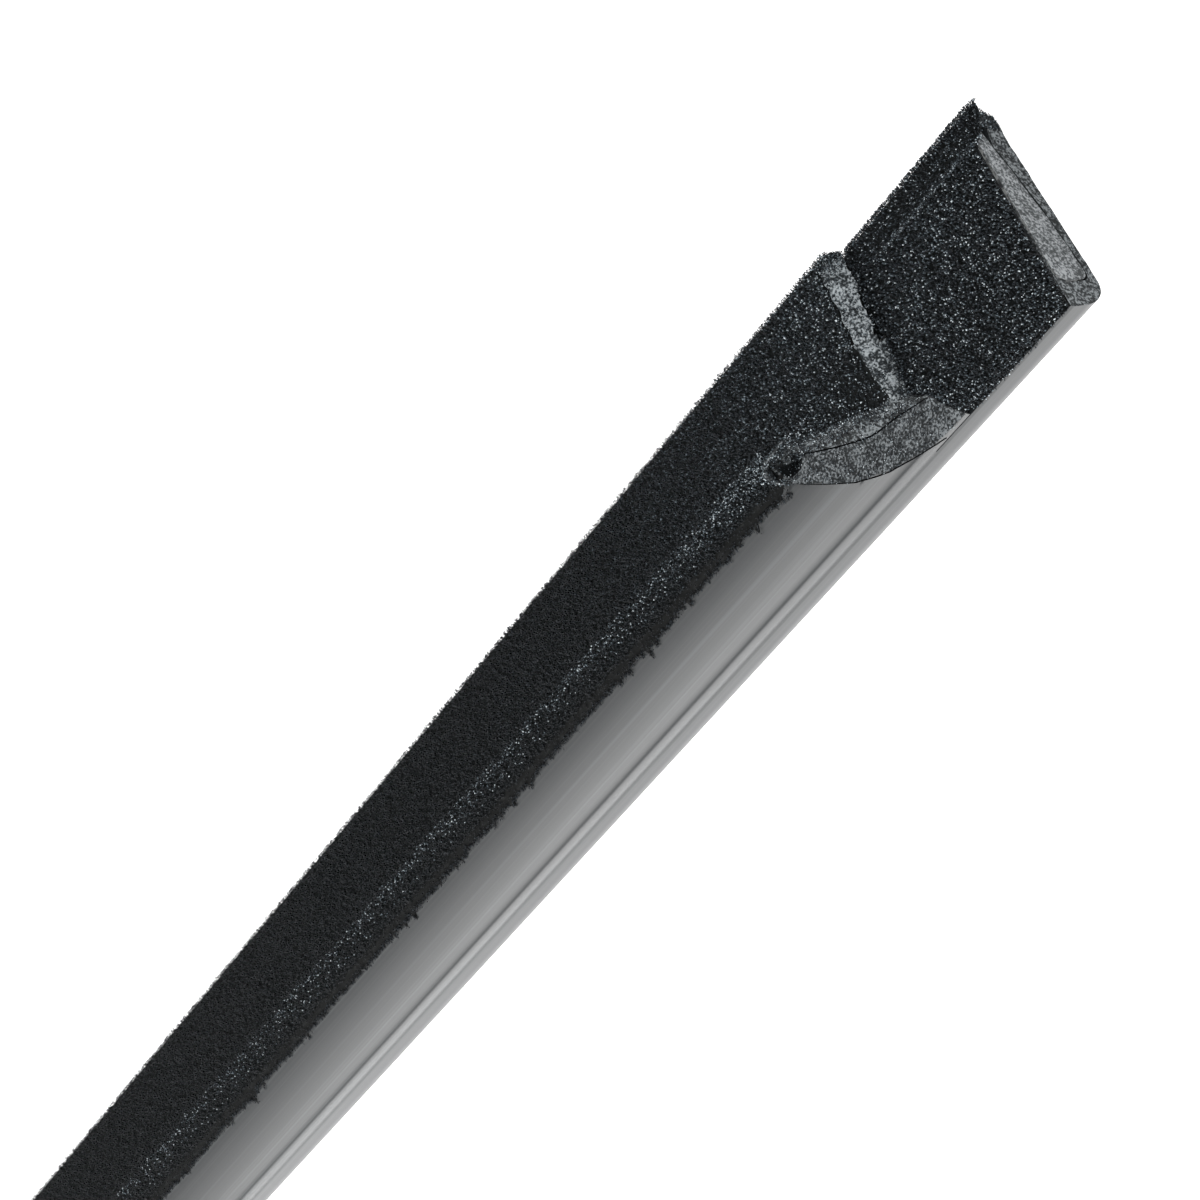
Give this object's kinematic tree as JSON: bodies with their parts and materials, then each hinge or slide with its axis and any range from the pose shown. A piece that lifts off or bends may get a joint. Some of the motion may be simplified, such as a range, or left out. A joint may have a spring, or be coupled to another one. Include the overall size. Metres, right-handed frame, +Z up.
{
  "type": "flocked rubber sealing strip",
  "caption": "Flocked rubber sealing strip with a stiff flat core, its upper lip cut back at one end to bare the flocked ledge below.",
  "frame": {"origin": "middle of the flat underside, at the bottom of the strip's box", "axes": "+X along the strip towards its cut-back tip, +Y towards the lip's free edge, +Z up out of the flocked face"},
  "size_m": [0.18, 0.015, 0.0055],
  "materials": {
    "rubber": "satin",
    "core": "matte",
    "flock": "flocked",
    "adhesive": "dull film"
  },
  "bodies": {
    "base": {"rubber_base": "rubber", "carrier_strip": "core", "base_flock": "flock", "shoulder_flock": "flock", "adhesive_film": "adhesive"},
    "lip": {"lip_rubber": "rubber", "lip_flock": "flock"}
  },
  "joints": [
    {"name": "lip_flex", "type": "hinge", "parent": "base", "child": "lip", "pos_m": [0, 0.00035, 0.00435], "axis": [1, 0, 0], "range_deg": [0, 18], "stiffness_Nm_per_rad": 0.004}
  ]
}
